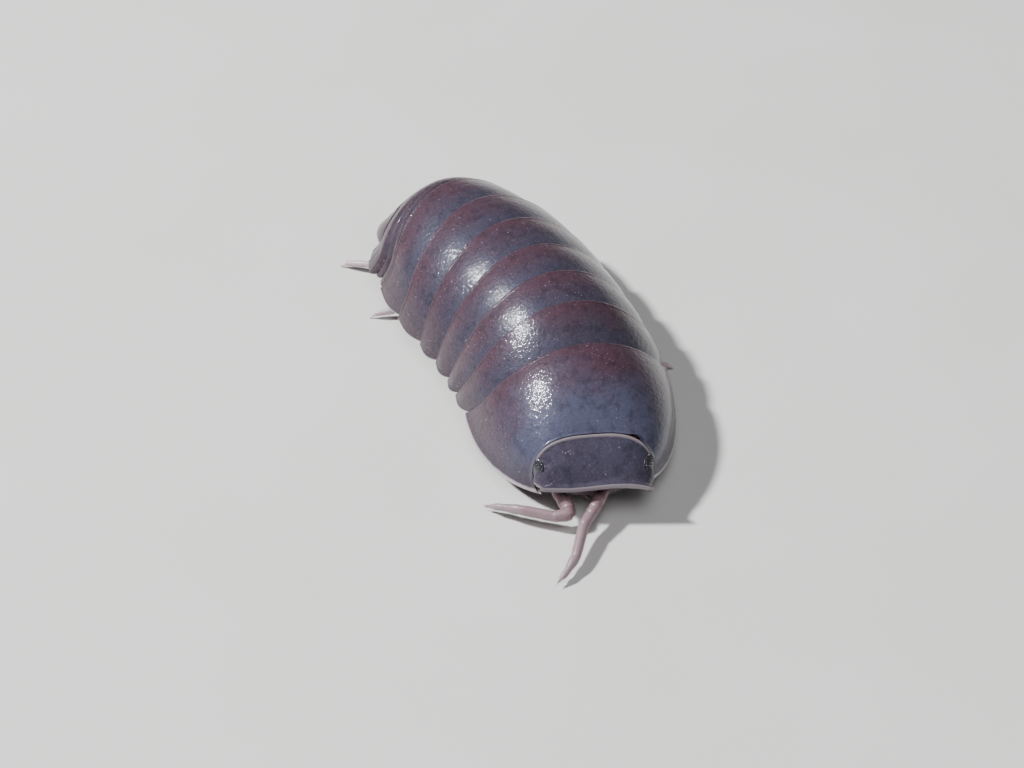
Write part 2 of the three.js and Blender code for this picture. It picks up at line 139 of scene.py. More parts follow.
def closed_sheet(name, outer, inner, zone, rim_inside, look, stands_for=()):
    """Two grids of straight body points joined all round their border. rim_inside is the share of
    the pale edge that shows on the inner face."""
    rows, columns = outer.shape[:2]
    size = rows * columns
    outer, inner = place(outer), place(inner)
    flip = bool(np.mean(normals_of(outer)[..., 2]) < 0)
    faces = grid_faces(rows, columns, 0, flip) + grid_faces(rows, columns, size, not flip)
    border = list(range(columns)) + [r * columns + columns - 1 for r in range(1, rows)]
    border += [(rows - 1) * columns + c for c in range(columns - 2, -1, -1)]
    border += [r * columns for r in range(rows - 2, 0, -1)]
    for a, b in zip(border, border[1:] + border[:1]):
        quad = [a, b, b + size, a + size]
        faces.append(quad[::-1] if flip else quad)
    points = np.concatenate([outer.reshape(-1, 3), inner.reshape(-1, 3)])
    both = np.concatenate([zone.reshape(-1, 3), (zone * [1, 1, rim_inside]).reshape(-1, 3)])
    make(name, points, faces, both, look, stands_for)


def signed_volume(points, faces):
    """Six times the volume inside the faces, below zero where they are turned inside out."""
    p = points - points.mean(0)
    triangles = np.array([(f[0], f[k], f[k + 1]) for f in faces for k in range(1, len(f) - 1)])
    a, b, c = p[triangles[:, 0]], p[triangles[:, 1]], p[triangles[:, 2]]
    return np.sum(a * np.cross(b, c))


class Pile:
    """Several closed surfaces gathered into one mesh."""

    def __init__(self):
        self.points, self.faces, self.zone, self.count = [], [], [], 0

    def rings(self, rings, marks=(0, 0, 0)):
        """Joins rings of points into a closed surface, with one set of marks or one per point."""
        rings = np.asarray(rings, float)
        rows, columns = rings.shape[:2]
        placed = place(rings)
        points = np.concatenate([placed.reshape(-1, 3), [placed[0].mean(0), placed[-1].mean(0)]])
        faces = grid_faces(rows, columns, closed=True)
        first_middle, last_middle = rows * columns, rows * columns + 1
        last_ring = (rows - 1) * columns
        for c in range(columns):
            d = (c + 1) % columns
            faces.append([d, c, first_middle])
            faces.append([last_ring + c, last_ring + d, last_middle])
        if signed_volume(points, faces) < 0:
            faces = [face[::-1] for face in faces]
        marks = np.asarray(marks, float)
        if marks.ndim == 1:
            zone = np.tile(marks, (len(points), 1))
        else:
            zone = np.concatenate([marks.reshape(-1, 3), [marks[0].mean(0), marks[-1].mean(0)]])
        self.points.append(points)
        self.faces += [[self.count + i for i in face] for face in faces]
        self.zone.append(zone)
        self.count += len(points)

    def build(self, name, look, stands_for=()):
        make(name, np.concatenate(self.points), self.faces, np.concatenate(self.zone),
             look, stands_for)


def turned_ring(centre, direction, up, wide, high, sides):
    """An oval ring of points round a centre, square to a direction."""
    d = np.asarray(direction, float)
    d = d / np.linalg.norm(d)
    u = np.asarray(up, float) - d * np.dot(up, d)
    u = u / np.linalg.norm(u)
    w = np.cross(d, u)
    a = round_angles(sides)
    return np.asarray(centre) + np.outer(np.cos(a) * wide, w) + np.outer(np.sin(a) * high, u)


ROUND_END = 0.55             # length of an article's rounded end over its radius
ARTICLE_SIDES = 16


def article(pile, start, end, radii, toward_tip, flat=0.9, joint=1.0):
    """One article of a limb: rounded at both ends, with its radius given at even steps. flat is its
    width over its height, and joint how pale its ends are."""
    start, end = np.asarray(start, float), np.asarray(end, float)
    length = np.linalg.norm(end - start)
    direction = (end - start) / length
    up = (0, 1, 0) if abs(direction[2]) > 0.97 else (0, 0, 1)
    cap = [(ROUND_END * math.cos(k * math.pi / 8) / length, math.sin(k * math.pi / 8) + 0.02)
           for k in range(4)]
    steps = [(-radii[0] * beyond, scale) for beyond, scale in cap]
    steps += [(k / 10, 1.0) for k in range(11)]
    steps += [(1 + radii[-1] * beyond, scale) for beyond, scale in cap[::-1]]
    rings, marks = [], []
    for t, scale in steps:
        r = np.interp(np.clip(t, 0, 1), np.linspace(0, 1, len(radii)), radii) * scale
        centre = start + direction * length * t
        rings.append(turned_ring(centre, direction, up, r * flat, r, ARTICLE_SIDES))
        near_joint = joint * max(0.0, 1 - 6 * min(abs(t), abs(1 - t)))
        marks.append(np.tile([toward_tip, np.clip(t, 0, 1), near_joint], (ARTICLE_SIDES, 1)))
    pile.rings(rings, np.array(marks))


def ring_at(start, end, t, radius, sides):
    """A round ring of points, t of the way from start to end, and the direction between them."""
    d = (end - start) / np.linalg.norm(end - start)
    up = (0, 0, 1) if abs(d[2]) < 0.9 else (1, 0, 0)
    return turned_ring(start + (end - start) * t, d, up, radius, radius, sides), d


BRISTLE_TAPER = ((-0.1, 1), (0.35, 0.8), (0.75, 0.45), (1, 0.06))      # place along it, thickness


def bristle(pile, root, direction, length, radius, toward_tip):
    root, direction = np.asarray(root, float), np.asarray(direction, float)
    tip = root + direction / np.linalg.norm(direction) * length
    rings = [ring_at(root, tip, t, radius * thickness, 5)[0] for t, thickness in BRISTLE_TAPER]
    pile.rings(rings, (toward_tip, 0, 0))


# Colours and materials.
def shade(hex_text):
    """An sRGB hex colour as linear light."""
    values = [int(hex_text[i:i + 2], 16) / 255 for i in (0, 2, 4)]
    linear = [v / 12.92 if v <= 0.04045 else ((v + 0.055) / 1.055) ** 2.4 for v in values]
    return tuple(linear + [1.0])


def add(tree, kind, settings=None, stops=None, out=0, **links):
    """Adds a node. settings are its own values, stops its colour ramp, and links its inputs. Each
    input is named i0, i1 and so on for its place, or by its name with _ for a space."""
    n = tree.nodes.new("ShaderNode" + kind)
    for key, value in (settings or {}).items():
        setattr(n, key, value)
    if stops:
        while len(n.color_ramp.elements) < len(stops):
            n.color_ramp.elements.new(0.5)
        for element, (at, colour) in zip(n.color_ramp.elements, stops):
            element.position = at
            element.color = colour if isinstance(colour, tuple) else (colour, colour, colour, 1)
    for key, value in links.items():
        by_place = re.fullmatch(r"i\d+", key)
        socket = n.inputs[int(key[1:])] if by_place else n.inputs[key.replace("_", " ")]
        if isinstance(value, bpy.types.NodeSocket):
            tree.links.new(value, socket)
        else:
            socket.default_value = value
    return n.outputs[out]


def new_look(name):
    look = bpy.data.materials.new(name)
    look.use_nodes = True
    look.node_tree.nodes.clear()
    return look, look.node_tree


def finish_look(tree, surface):
    target = tree.nodes.new("ShaderNodeOutputMaterial")
    tree.links.new(surface, target.inputs[0])


COLOUR_MIX = {"data_type": "RGBA"}
TIMES = {"operation": "MULTIPLY"}
LESS = {"operation": "SUBTRACT"}
TIMES_PLUS = {"operation": "MULTIPLY_ADD"}
ZONE = {"attribute_name": "zone"}

# Sizes of the patterns in the shell, in mm. The granules, the grain and the pits are drawn two to
# four times as coarse as the real ones, so that they show at life size.
CLOUDS, MOTTLING, GRANULES, GRAIN, PITS = 1.3, 0.34, 0.07, 0.03, 0.15
SPECKS, GLINTS_AND_DUST = 0.36, 0.13    # from spot to spot; a spot is about a fifth of that across. The second are pale dust and painted glints
RELIEF = 0.0145              # depth of the granular relief
# the second colour is for the pale dust and painted glints
BLOTCH_COLOUR, GLINT_AND_DUST_COLOUR = "1d1a22", "cfc8d2"


def shell_look(name, front, rear, side, rim, speck_colour, rough):
    """Woodlouse cuticle: hard waxy chitin over dark pigment, moulted in one piece. It is glossy,
    minutely granular, slate blue where the plate is covered in a curl, reddish brown toward its
    free edge and down its sides, with a thin pale horny rim. On the first plate the slate front
    colour is also lightened and blued, a painted sheen. The wax carries the glint, so it is
    a coat, and the chitin under it is duller than its own index of about 1.55 would make it."""
    look, tree = new_look(name)
    where = add(tree, "TexCoord", out=3)
    layer = add(tree, "Attribute", ZONE)
    along = add(tree, "SeparateColor", out=0, i0=layer)
    flank = add(tree, "SeparateColor", out=1, i0=layer)
    edge = add(tree, "SeparateColor", out=2, i0=layer)
    clouds = add(tree, "TexNoise", i0=where, Scale=1 / (CLOUDS * MM), Detail=3.0, Roughness=0.55)
    mottle = add(tree, "TexNoise", i0=where, Scale=1 / (MOTTLING * MM), Detail=5.0, Roughness=0.62)
    fine = add(tree, "TexNoise", i0=where, Scale=1 / (GRANULES * MM), Detail=3.0, Roughness=0.6)
    grain = add(tree, "TexNoise", i0=where, Scale=1 / (GRAIN * MM), Detail=2.0, Roughness=0.5)
    specks = add(tree, "TexVoronoi", i0=where, Scale=1 / (SPECKS * MM))
    glint_and_dust_cells = add(tree, "TexVoronoi", i0=where, Scale=1 / (GLINTS_AND_DUST * MM))
    pits = add(tree, "TexVoronoi", i0=where, Scale=1 / (PITS * MM))

    # slate front to brown rear, then toward the sides
    back = add(tree, "Math", LESS, i0=along, i1=0.4)
    clouded = add(tree, "Math", TIMES_PLUS, i0=clouds, i1=0.8, i2=back)
    slate_to_brown = [(0.2, shade(front)), (0.82, shade(rear))]
    front_to_rear = add(tree, "ValToRGB", stops=slate_to_brown, i0=clouded)
    down = add(tree, "Math", LESS, i0=flank, i1=0.15)
    wavy = add(tree, "Math", TIMES_PLUS, i0=mottle, i1=0.3, i2=down)
    sideways = add(tree, "ValToRGB", stops=[(0.5, 0.0), (1.0, 0.9)], i0=wavy)
    body = add(tree, "Mix", COLOUR_MIX, out=2, i0=sideways, i6=front_to_rear, i7=shade(side))

    # dark blotches, pale granules and specks, pale dust and painted glints in some of the clouds,
    # and the worn pale rim
    blotches = add(tree, "ValToRGB", stops=[(0.36, 0.4), (0.52, 0.0)], i0=mottle)
    pale_granules = add(tree, "ValToRGB", stops=[(0.54, 0.0), (0.8, 0.2)], i0=fine)
    speck_spots = add(tree, "ValToRGB", stops=[(0.05, 0.55), (0.095, 0.0)], i0=specks)
    glint_and_dust_spots = add(tree, "ValToRGB", stops=[(0.08, 0.35), (0.13, 0.0)], i0=glint_and_dust_cells)
    glint_and_dust_clouds = add(tree, "ValToRGB", stops=[(0.48, 0.0), (0.6, 1.0)], i0=clouds)
    glint_and_dust_spots = add(tree, "Math", TIMES, i0=glint_and_dust_spots, i1=glint_and_dust_clouds)
    near_edge = add(tree, "Math", LESS, i0=edge, i1=0.12)
    worn = add(tree, "Math", TIMES_PLUS, i0=mottle, i1=0.24, i2=near_edge)
    pale_rim = add(tree, "ValToRGB", stops=[(0.38, 0.0), (0.75, 0.92)], i0=worn)
    for mask, colour in ((blotches, BLOTCH_COLOUR), (pale_granules, speck_colour),
                         (speck_spots, speck_colour), (glint_and_dust_spots, GLINT_AND_DUST_COLOUR), (pale_rim, rim)):
        body = add(tree, "Mix", COLOUR_MIX, out=2, i0=mask, i6=body, i7=shade(colour))

    relief = add(tree, "Math", TIMES, i0=grain, i1=0.28)
    for pattern, height in ((fine, 0.6), (mottle, 0.8), (pits, 0.6)):
        relief = add(tree, "Math", TIMES_PLUS, i0=pattern, i1=height, i2=relief)
    bumps = add(tree, "Bump", Strength=0.8, Distance=RELIEF * MM, Height=relief)
    gloss = add(tree, "ValToRGB", stops=[(0.3, rough), (0.7, rough + 0.12)], i0=fine)
    finish_look(tree, add(
        tree, "BsdfPrincipled", Base_Color=body, Roughness=gloss, Normal=bumps, IOR=1.3,
        Subsurface_Weight=0.06, Subsurface_Scale=0.12 * MM, Specular_Tint=(0.7, 0.79, 1.0, 1.0),
        Coat_Weight=0.7, Coat_Roughness=0.05, Coat_IOR=1.36, Coat_Normal=bumps))
    return look


LIMB_PATCHES, LIMB_GRAIN, LENS_TONES = 0.2, 0.035, 0.09        # sizes of the other patterns, in mm
SKIN_PATCHES, SKIN_FOLDS, BOARD_TONES = 0.5, 0.06, 9


def limb_look(name, main, joint, tip, rough=0.42, through=0.3):
    """Thin cuticle of legs and feelers: barely pigmented chitin, smooth and slightly
    see-through, paler where two articles meet."""
    look, tree = new_look(name)
    where = add(tree, "TexCoord", out=3)
    layer = add(tree, "Attribute", ZONE)
    toward_tip = add(tree, "SeparateColor", out=0, i0=layer)
    near_joint = add(tree, "SeparateColor", out=2, i0=layer)
    patch = add(tree, "TexNoise", i0=where, Scale=1 / (LIMB_PATCHES * MM), Detail=3.0,
                Roughness=0.6)
    grain = add(tree, "TexNoise", i0=where, Scale=1 / (LIMB_GRAIN * MM), Detail=2.0,
                Roughness=0.5)
    body = add(tree, "Mix", COLOUR_MIX, out=2, i0=toward_tip, i6=shade(main), i7=shade(tip))
    pale_patches = add(tree, "ValToRGB", stops=[(0.4, 0.0), (0.75, 0.4)], i0=patch)
    pale_joints = add(tree, "Math", TIMES, i0=near_joint, i1=0.55)
    for mask in (pale_patches, pale_joints):
        body = add(tree, "Mix", COLOUR_MIX, out=2, i0=mask, i6=body, i7=shade(joint))
    relief = add(tree, "Math", TIMES_PLUS, i0=grain, i1=0.5, i2=patch)
    bumps = add(tree, "Bump", Strength=0.4, Distance=0.014 * MM, Height=relief)
    finish_look(tree, add(
        tree, "BsdfPrincipled", Base_Color=body, Roughness=rough, Normal=bumps, IOR=1.5,
        Subsurface_Weight=through, Subsurface_Scale=0.2 * MM, Coat_Weight=0.2, Coat_Roughness=0.25))
    return look


def eye_look():
    """Clear smooth lenses of chitin over black pigment: small wet-looking glints on black."""
    look, tree = new_look("eye_lenses")
    where = add(tree, "TexCoord", out=3)
    patch = add(tree, "TexNoise", i0=where, Scale=1 / (LENS_TONES * MM), Detail=2.0)
    body = add(tree, "ValToRGB", stops=[(0.3, shade("121118")), (0.7, shade("2a2834"))], i0=patch)
    finish_look(tree, add(
        tree, "BsdfPrincipled", Base_Color=body, Roughness=0.22, IOR=1.55,
        Coat_Weight=0.6, Coat_Roughness=0.12))
    return look


def belly_look():
    """Soft unpigmented skin between the legs: matt, pale grey mauve, finely folded."""
    look, tree = new_look("belly_skin")
    where = add(tree, "TexCoord", out=3)
    patch = add(tree, "TexNoise", i0=where, Scale=1 / (SKIN_PATCHES * MM), Detail=4.0,
                Roughness=0.55)
    folds = add(tree, "TexNoise", i0=where, Scale=1 / (SKIN_FOLDS * MM), Detail=3.0, Roughness=0.6)
    body = add(tree, "ValToRGB", stops=[(0.3, shade("75666f")), (0.7, shade("a1949b"))], i0=patch)
    bumps = add(tree, "Bump", Strength=0.4, Distance=0.02 * MM, Height=folds)
    finish_look(tree, add(
        tree, "BsdfPrincipled", Base_Color=body, Roughness=0.5, Normal=bumps,
        Subsurface_Weight=0.3, Subsurface_Scale=0.25 * MM))
    return look


def floor_look():
    """Plain matt pale board."""
    look, tree = new_look("pale_board")
    where = add(tree, "TexCoord", out=3)
    patch = add(tree, "TexNoise", i0=where, Scale=1 / (BOARD_TONES * MM), Detail=2.0)
    body = add(tree, "ValToRGB", stops=[(0.3, shade("d3d1cd")), (0.7, shade("d8d6d3"))], i0=patch)
    finish_look(tree, add(tree, "BsdfPrincipled", Base_Color=body, Roughness=0.85))
    return look


# colours of front, rear, side, rim and specks, then roughness
TRUNK = shell_look("trunk_cuticle", "3b3745", "45303a", "3d2d35", "aea4a9", "8d7f8c", 0.36)
# the first plate's front colour is its slate blue lightened and blued by a painted sheen
FIRST_PLATE_WITH_PAINTED_SHEEN = shell_look("first_plate_cuticle_with_painted_sheen",
                         "454659", "45303a", "3c2f39", "c2b9be", "8d7f8c", 0.36)
TAIL_SHELL = shell_look("tail_cuticle", "352b35", "3f2e37", "3f3038", "85767d", "8d7f8c", 0.45)
HEAD_SHELL = shell_look("head_cuticle", "3c3947", "42303a", "46343e", "7f767b", "877b8c", 0.28)
# colours of the articles, the joints and the tip
FEELER = limb_look("feeler_cuticle", "7e6168", "957c80", "94858b")
LEG = limb_look("leg_cuticle", "a38790", "bda9af", "c4b7bb")
GILL = limb_look("gill_flap_skin", "a5959c", "d5cdce", "efeceb", rough=0.4, through=0.4)
# the mouthparts are coloured near black as painted shade under the face
MOUTH_PAINTED_SHADE = limb_look("mouthpart_painted_shade_cuticle", "3d2a30", "54424a", "54424a")
EYES = eye_look()
BELLY = belly_look()

# Rear edges of the plates: half width, height and place of the crown, how far the edge sweeps back
# down the side, how far its lower lobe goes back beyond that, and in the tail its lower height.
SPREAD, ARCH, SIDE_Z = 1.006, 1.362, 1.017
EDGE = [
    dict(w=3.671, crown=4.167, y=-4.026, sweep=0.166, lobe=0.773),
    dict(w=3.722, crown=4.671, y=-2.445, sweep=-0.135, lobe=0.71),
    dict(w=3.724, crown=4.724, y=-0.911, sweep=-0.445, lobe=0.403),
    dict(w=3.755, crown=4.592, y=0.721, sweep=-0.812, lobe=0.318),
    dict(w=3.829, crown=4.459, y=2.454, sweep=-1.178, lobe=0.259),
    dict(w=3.803, crown=4.211, y=4.234, sweep=-1.344, lobe=0.588),
    dict(w=3.414, crown=3.833, y=6.008, sweep=-1.378, lobe=0.825),
]
TAIL = [
    dict(w=3.16, crown=3.68, y=6.32, sweep=-1.3, lobe=0.75, low=1.12),
    dict(w=3.12, crown=3.48, y=6.62, sweep=-1.22, lobe=0.75, low=1.08),
    dict(w=3.2, crown=3.23, y=6.9, sweep=-1.0, lobe=0.7, low=1.0),
    dict(w=2.78, crown=2.92, y=7.18, sweep=-0.6, lobe=0.56, low=1.0),
    dict(w=2.25, crown=2.63, y=7.43, sweep=-0.35, lobe=0.45, low=1.0),
]
LOBE_FROM = 0.6              # share of the way down the side at which the lower lobe starts
# Front edge of the first plate, which holds the head like a hood: angle from the crown, then half
# width, place along the body and height.
HOOD = np.array([
    (0, 0.0, -7.05, 2.885), (15, 0.74, -7.07, 2.865),
    (32, 1.35, -7.15, 2.7), (48, 1.73, -7.31, 2.41),
    (62, 1.92, -7.51, 2.02), (75, 1.87, -7.71, 1.52),
    (84, 1.64, -7.85, 1.17), (90, 1.38, -7.92, 0.97),
])
# The hood stands a little open over the left eye, and its lower left end is tucked in.
NICK = dict(at=37, wide=8, back=0.12, up=0.05)
CORNER = dict(start=55, end=90, inward=0.12, back=0.12, up=0.22)
LEAN_RIGHT, LEAN_LEFT = 0.14, 0.13     # the first plate's lower edges lean to the animal's right

# Angles across the back, closer together near the lower edges, where the rim is rolled.
END_STEPS = [90, 89.6, 89.1, 88.4, 87.4, 86]
DEG = np.array([-a for a in END_STEPS] + list(np.linspace(-84.5, 84.5, 105)) + END_STEPS[::-1])


def smooth_line(at, known_at, known):
    """A cubic through known values, whose slope at each comes from its neighbours."""
    at, known_at, known = [np.asarray(values, float) for values in (at, known_at, known)]
    slope = np.gradient(known, known_at)
    i = np.clip(np.searchsorted(known_at, at) - 1, 0, len(known_at) - 2)
    h = known_at[i + 1] - known_at[i]
    t = np.clip((at - known_at[i]) / h, 0, 1)
    return ((2 * t ** 3 - 3 * t ** 2 + 1) * known[i] + (t ** 3 - 2 * t ** 2 + t) * h * slope[i]
            + (3 * t ** 2 - 2 * t ** 3) * known[i + 1] + (t ** 3 - t ** 2) * h * slope[i + 1])


def side_share(deg):
    """How far down the side an angle is: 0 at the crown and 1 at the lower edge."""
    return 1 - np.clip(np.cos(np.radians(deg)), 0, 1) ** ARCH


def edge_points(edge, deg):
    """Points on a rear edge at angles across the back, in degrees."""
    s = np.sin(np.radians(deg))
    v = side_share(deg)
    low = edge.get("low", SIDE_Z)
    lobe = np.clip((v - LOBE_FROM) / (1 - LOBE_FROM), 0, 1) ** 1.5
    x = edge["w"] * np.sign(s) * np.abs(s) ** SPREAD
    y = edge["y"] + edge["sweep"] * v + edge["lobe"] * lobe
    z = low + (edge["crown"] - low) * (1 - v)
    return np.stack([x, y, z], -1)


def hood_points(deg):
    a = np.abs(deg)
    x, y, z = [smooth_line(a, HOOD[:, 0], HOOD[:, i]) for i in (1, 2, 3)]
    nick = np.exp(-((deg - NICK["at"]) / NICK["wide"]) ** 2)
    corner = smooth_step(deg, CORNER["start"], CORNER["end"])
    x = np.sign(deg) * x - CORNER["inward"] * corner
    y = y + NICK["back"] * nick + CORNER["back"] * corner
    z = z + NICK["up"] * nick + CORNER["up"] * corner
    return np.stack([x, y, z], -1)


AXIS_Z = 1.6                 # height of the line that plates are drawn in toward


def inset(points, depth):
    """Points moved toward the body's axis; a depth below zero moves them outward."""
    d = np.stack([points[..., 0], np.zeros(points.shape[:-1]), points[..., 2] - AXIS_Z], -1)
    d /= np.linalg.norm(d, axis=-1, keepdims=True)
    return points - d * np.asarray(depth)[..., None]


def plate_steps(rows):
    """Shares of the way from a plate's front to its rear edge, closer together at the edge; those
    below 0 lie under the plate before."""
    steps = np.concatenate([np.linspace(-0.16, 0.9, rows),
                            [0.925, 0.95, 0.965, 0.978, 0.988, 0.995, 1.0]])
    return steps[:, None]


def first_plate_surface(front, rear):
    """The first plate: it bulges from the hood's edge, and its lower edges dip midway."""
    t = plate_steps(44)
    t = t[t[:, 0] >= 0]
    v = side_share(DEG)
    hump = np.sin(np.pi * t)
    quarter = np.sin(np.pi * t / 2)
    widen, rise = quarter ** (0.75 - 0.27 * v ** 4), quarter ** 0.85
    lean = np.where(DEG > 0, LEAN_LEFT, LEAN_RIGHT)
    span = rear - front
    x = front[:, 0] + span[:, 0] * widen - lean * hump ** 0.7 * v ** 3
    y = front[:, 1] + span[:, 1] * t
    z = front[:, 2] + span[:, 2] * rise - 0.36 * hump * v ** 6
    return t, np.stack([x, y, z], -1)


COVERED_DIP = 0.308          # how steeply the covered front of a plate dips


def next_plate_surface(front, rear, rows=30, swell=0.06, scallop=0.1):
    """A plate after the first, from under the plate before it. It swells between its edges, its
    lower edge is scalloped, and its covered front dips."""
    t = plate_steps(rows)
    v = side_share(DEG)
    hump = np.sin(np.pi * np.clip(t, 0, 1))
    depth = -swell * hump + COVERED_DIP * np.clip(-t, 0, 1) + 0 * v
    p = inset(front + (rear - front) * t[..., None], depth)
    p[..., 0] += np.sign(DEG) * scallop * hump * v ** 4
    p[..., 2] -= scallop * hump * v ** 6
    return t, p


RIDGE = dict(height=0.014, at=0.05, wide=0.035)        # low ridge along the free rear edge
PALE_LINE = 0.045            # width of the pale line on that edge
THIN_FRONT = 0.3             # length over which the first plate thins toward the hood's edge
UNDER_TRUNK, UNDER_TAIL = 0.125, 0.075       # how far a plate's front lies inside the one before it


def plate(name, look, front, rear, surface, half, rim, rim_wide, stands_for=(),
          thin_front=False):
    """A shell plate under its outer surface. half is half its thickness, its lower edges have a
    thicker rim, and its edges are rolled."""
    t, p = surface
    v = side_share(DEG)
    length = np.linalg.norm(rear - front, axis=-1)
    from_rear = (1 - t) * length
    arc = np.concatenate([[0], np.cumsum(np.linalg.norm(np.diff(rear, axis=0), axis=-1))])
    from_side = np.minimum(arc, arc[-1] - arc) + 0 * t
    bead = np.exp(-(from_side / (rim_wide * 1.4)) ** 2)
    thick = half + rim * bead
    if thin_front:
        thick = thick * np.sqrt(np.clip(t * length / THIN_FRONT, 0.06, 1))
    roll = np.ones_like(from_rear)
    for distance, reach in ((from_rear, half * 1.1), (from_side, half + rim)):
        q = np.clip(distance / reach, 0, 1)
        roll = roll * np.sqrt(np.clip(1 - (1 - q) ** 2, 0, 1))
    ridge = RIDGE["height"] * np.exp(-((from_rear - RIDGE["at"]) / RIDGE["wide"]) ** 2)
    middle = p - upward_normals(p) * (thick - ridge - rim * bead * 1.5)[..., None]
    offset = upward_normals(middle) * (thick * roll)[..., None]
    rear_mark = np.exp(-(from_rear / PALE_LINE) ** 2) * (0.38 + 0.27 * v)
    side_mark = np.exp(-(from_side / rim_wide) ** 2.5)
    marks = np.broadcast_arrays(np.clip(t, 0, 1), v, np.maximum(rear_mark, side_mark))
    closed_sheet(name, middle + offset, middle - offset, np.stack(marks, -1), 0.6,
                 look, stands_for)


front, rear = hood_points(DEG), edge_points(EDGE[0], DEG)
plate("tergite_1", FIRST_PLATE_WITH_PAINTED_SHEEN, front, rear, first_plate_surface(front, rear),
      half=0.065, rim=0.07, rim_wide=0.25, stands_for=("pereonite_1",), thin_front=True)
for number in range(2, 8):
    front = inset(edge_points(EDGE[number - 2], DEG), UNDER_TRUNK)
    rear = edge_points(EDGE[number - 1], DEG)
    plate(f"tergite_{number}", TRUNK, front, rear, next_plate_surface(front, rear),
          half=0.06, rim=0.015, rim_wide=0.075, stands_for=(f"pereonite_{number}",))
for number, (before, edge) in enumerate(zip([EDGE[6]] + TAIL, TAIL), 1):
    front, rear = inset(edge_points(before, DEG), UNDER_TAIL), edge_points(edge, DEG)
    surface = next_plate_surface(front, rear, rows=16, swell=0.03, scallop=0.03)
    plate(f"tail_plate_{number}", TAIL_SHELL, front, rear, surface,
          half=0.05, rim=0.0, rim_wide=0.06, stands_for=("pleon",) if number == 5 else ())


# Underside skin, a soft bag between the legs that fills the back up to just under the plates.
def back_height(y):
    """Height of the tail's crown behind the last trunk plate."""
    u = y - EDGE[6]["y"]
    return EDGE[6]["crown"] - 0.41 * u - 0.29 * u * u


def crown_at(y):
    edges = EDGE + TAIL
    return np.interp(y, [-6.9] + [e["y"] for e in edges], [2.8] + [e["crown"] for e in edges])


BAG_ENDS = (-6.9, 8.2)
BAG_HALF = ([-6.9, -6.2, -5, 4.5, 6.2, 7.3, 8.2], [1.55, 1.9, 2.35, 2.45, 2.0, 1.5, 0.55])
BAG_BELOW_PLATES = ([-6.9, -5, 5, 7.3, 8.2], [0.9, 1.0, 1.0, 0.62, 0.3])
BAG_LOW = ([-6.9, -5, 5.5, 7.3, 8.2], [2.1, 2.12, 2.12, 1.5, 1.05])
TAIL_FROM = 7.3              # the bag follows the end plate from here
FOLD_DEPTH, FOLD_STEP, FIRST_FOLD = 0.07, 1.52, -6.2   # the skin bulges between its creases

belly = Pile()
belly_rings = []
for y in np.linspace(*BAG_ENDS, 156):
    half = np.interp(y, *BAG_HALF)
    top = (crown_at(y) if y < TAIL_FROM else back_height(y)) - np.interp(y, *BAG_BELOW_PLATES)
    fold = FOLD_DEPTH * abs(math.sin(math.pi * (y - FIRST_FOLD) / FOLD_STEP)) ** 0.6
    low = np.interp(y, *BAG_LOW) - fold
    centre_z = mix(low, top, 0.4)
    a = round_angles(64)
    c, s = np.cos(a), np.sin(a)
    x = np.sign(c) * np.abs(c) ** 0.7 * half
    z = np.where(s >= 0, centre_z + (top - centre_z) * np.abs(s) ** 0.9,
                 centre_z - (centre_z - low) * np.abs(s) ** 0.6)
    belly_rings.append(np.stack([x, np.full_like(x, y), z], -1))
belly.rings(belly_rings)
belly.build("underside_skin", BELLY)

# Tail end plate: place along the body, half width, depth, how far its underside is drawn forward,
# and how far its sides drop.
END_PLATE = ((7.42, 1.0, 0.16, -0.02, 0.24), (7.62, 0.98, 0.16, -0.08, 0.22),
             (7.78, 0.9, 0.16, -0.1, 0.18), (7.92, 0.78, 0.16, -0.12, 0.15),
             (8.06, 0.69, 0.15, -0.13, 0.12), (8.2, 0.66, 0.14, -0.13, 0.1),
             (8.32, 0.69, 0.12, -0.12, 0.1), (8.39, 0.66, 0.06, -0.05, 0.1),
             (8.41, 0.58, 0.01, -0.01, 0.1))

end_plate = Pile()
end_rings, end_marks = [], []
across = np.linspace(-1, 1, 33)
roll = np.sqrt(np.clip(1 - np.clip((np.abs(across) - 0.9) / 0.1, 0, 1) ** 2, 0, 1))
near_side = np.clip((np.abs(np.concatenate([across, across[::-1]])) - 0.86) * 7, 0, 0.5)
for i, (y, half, depth, forward, drop) in enumerate(END_PLATE):
    z = back_height(y) - drop * across * across - 0.02
    top = np.stack([half * across, np.full_like(across, y), z], -1)
    under = np.stack([half * across, y + forward * roll, z - depth * roll], -1)[::-1]
    end_rings.append(np.concatenate([top, under]))
    at_tip = 0.8 if i >= len(END_PLATE) - 2 else 0.0
    marks = np.zeros((len(near_side), 3))
    marks[:, 0] = i / (len(END_PLATE) - 1)
    marks[:, 2] = np.maximum(near_side, at_tip)
    end_marks.append(marks)
end_plate.rings(end_rings, np.array(end_marks))
end_plate.build("tail_end_plate", TAIL_SHELL, ("telson",))

FAN_START, FAN_LENGTH, FAN_HALF_THICK = 7.3, 1.03, 0.065
FAN_STEPS = np.concatenate([np.linspace(0, 0.8, 18), [0.86, 0.91, 0.95, 0.975, 0.99, 1.0]])
FAN_ROUND_FROM = 0.72        # share of its length at which the fan plate's end starts to round


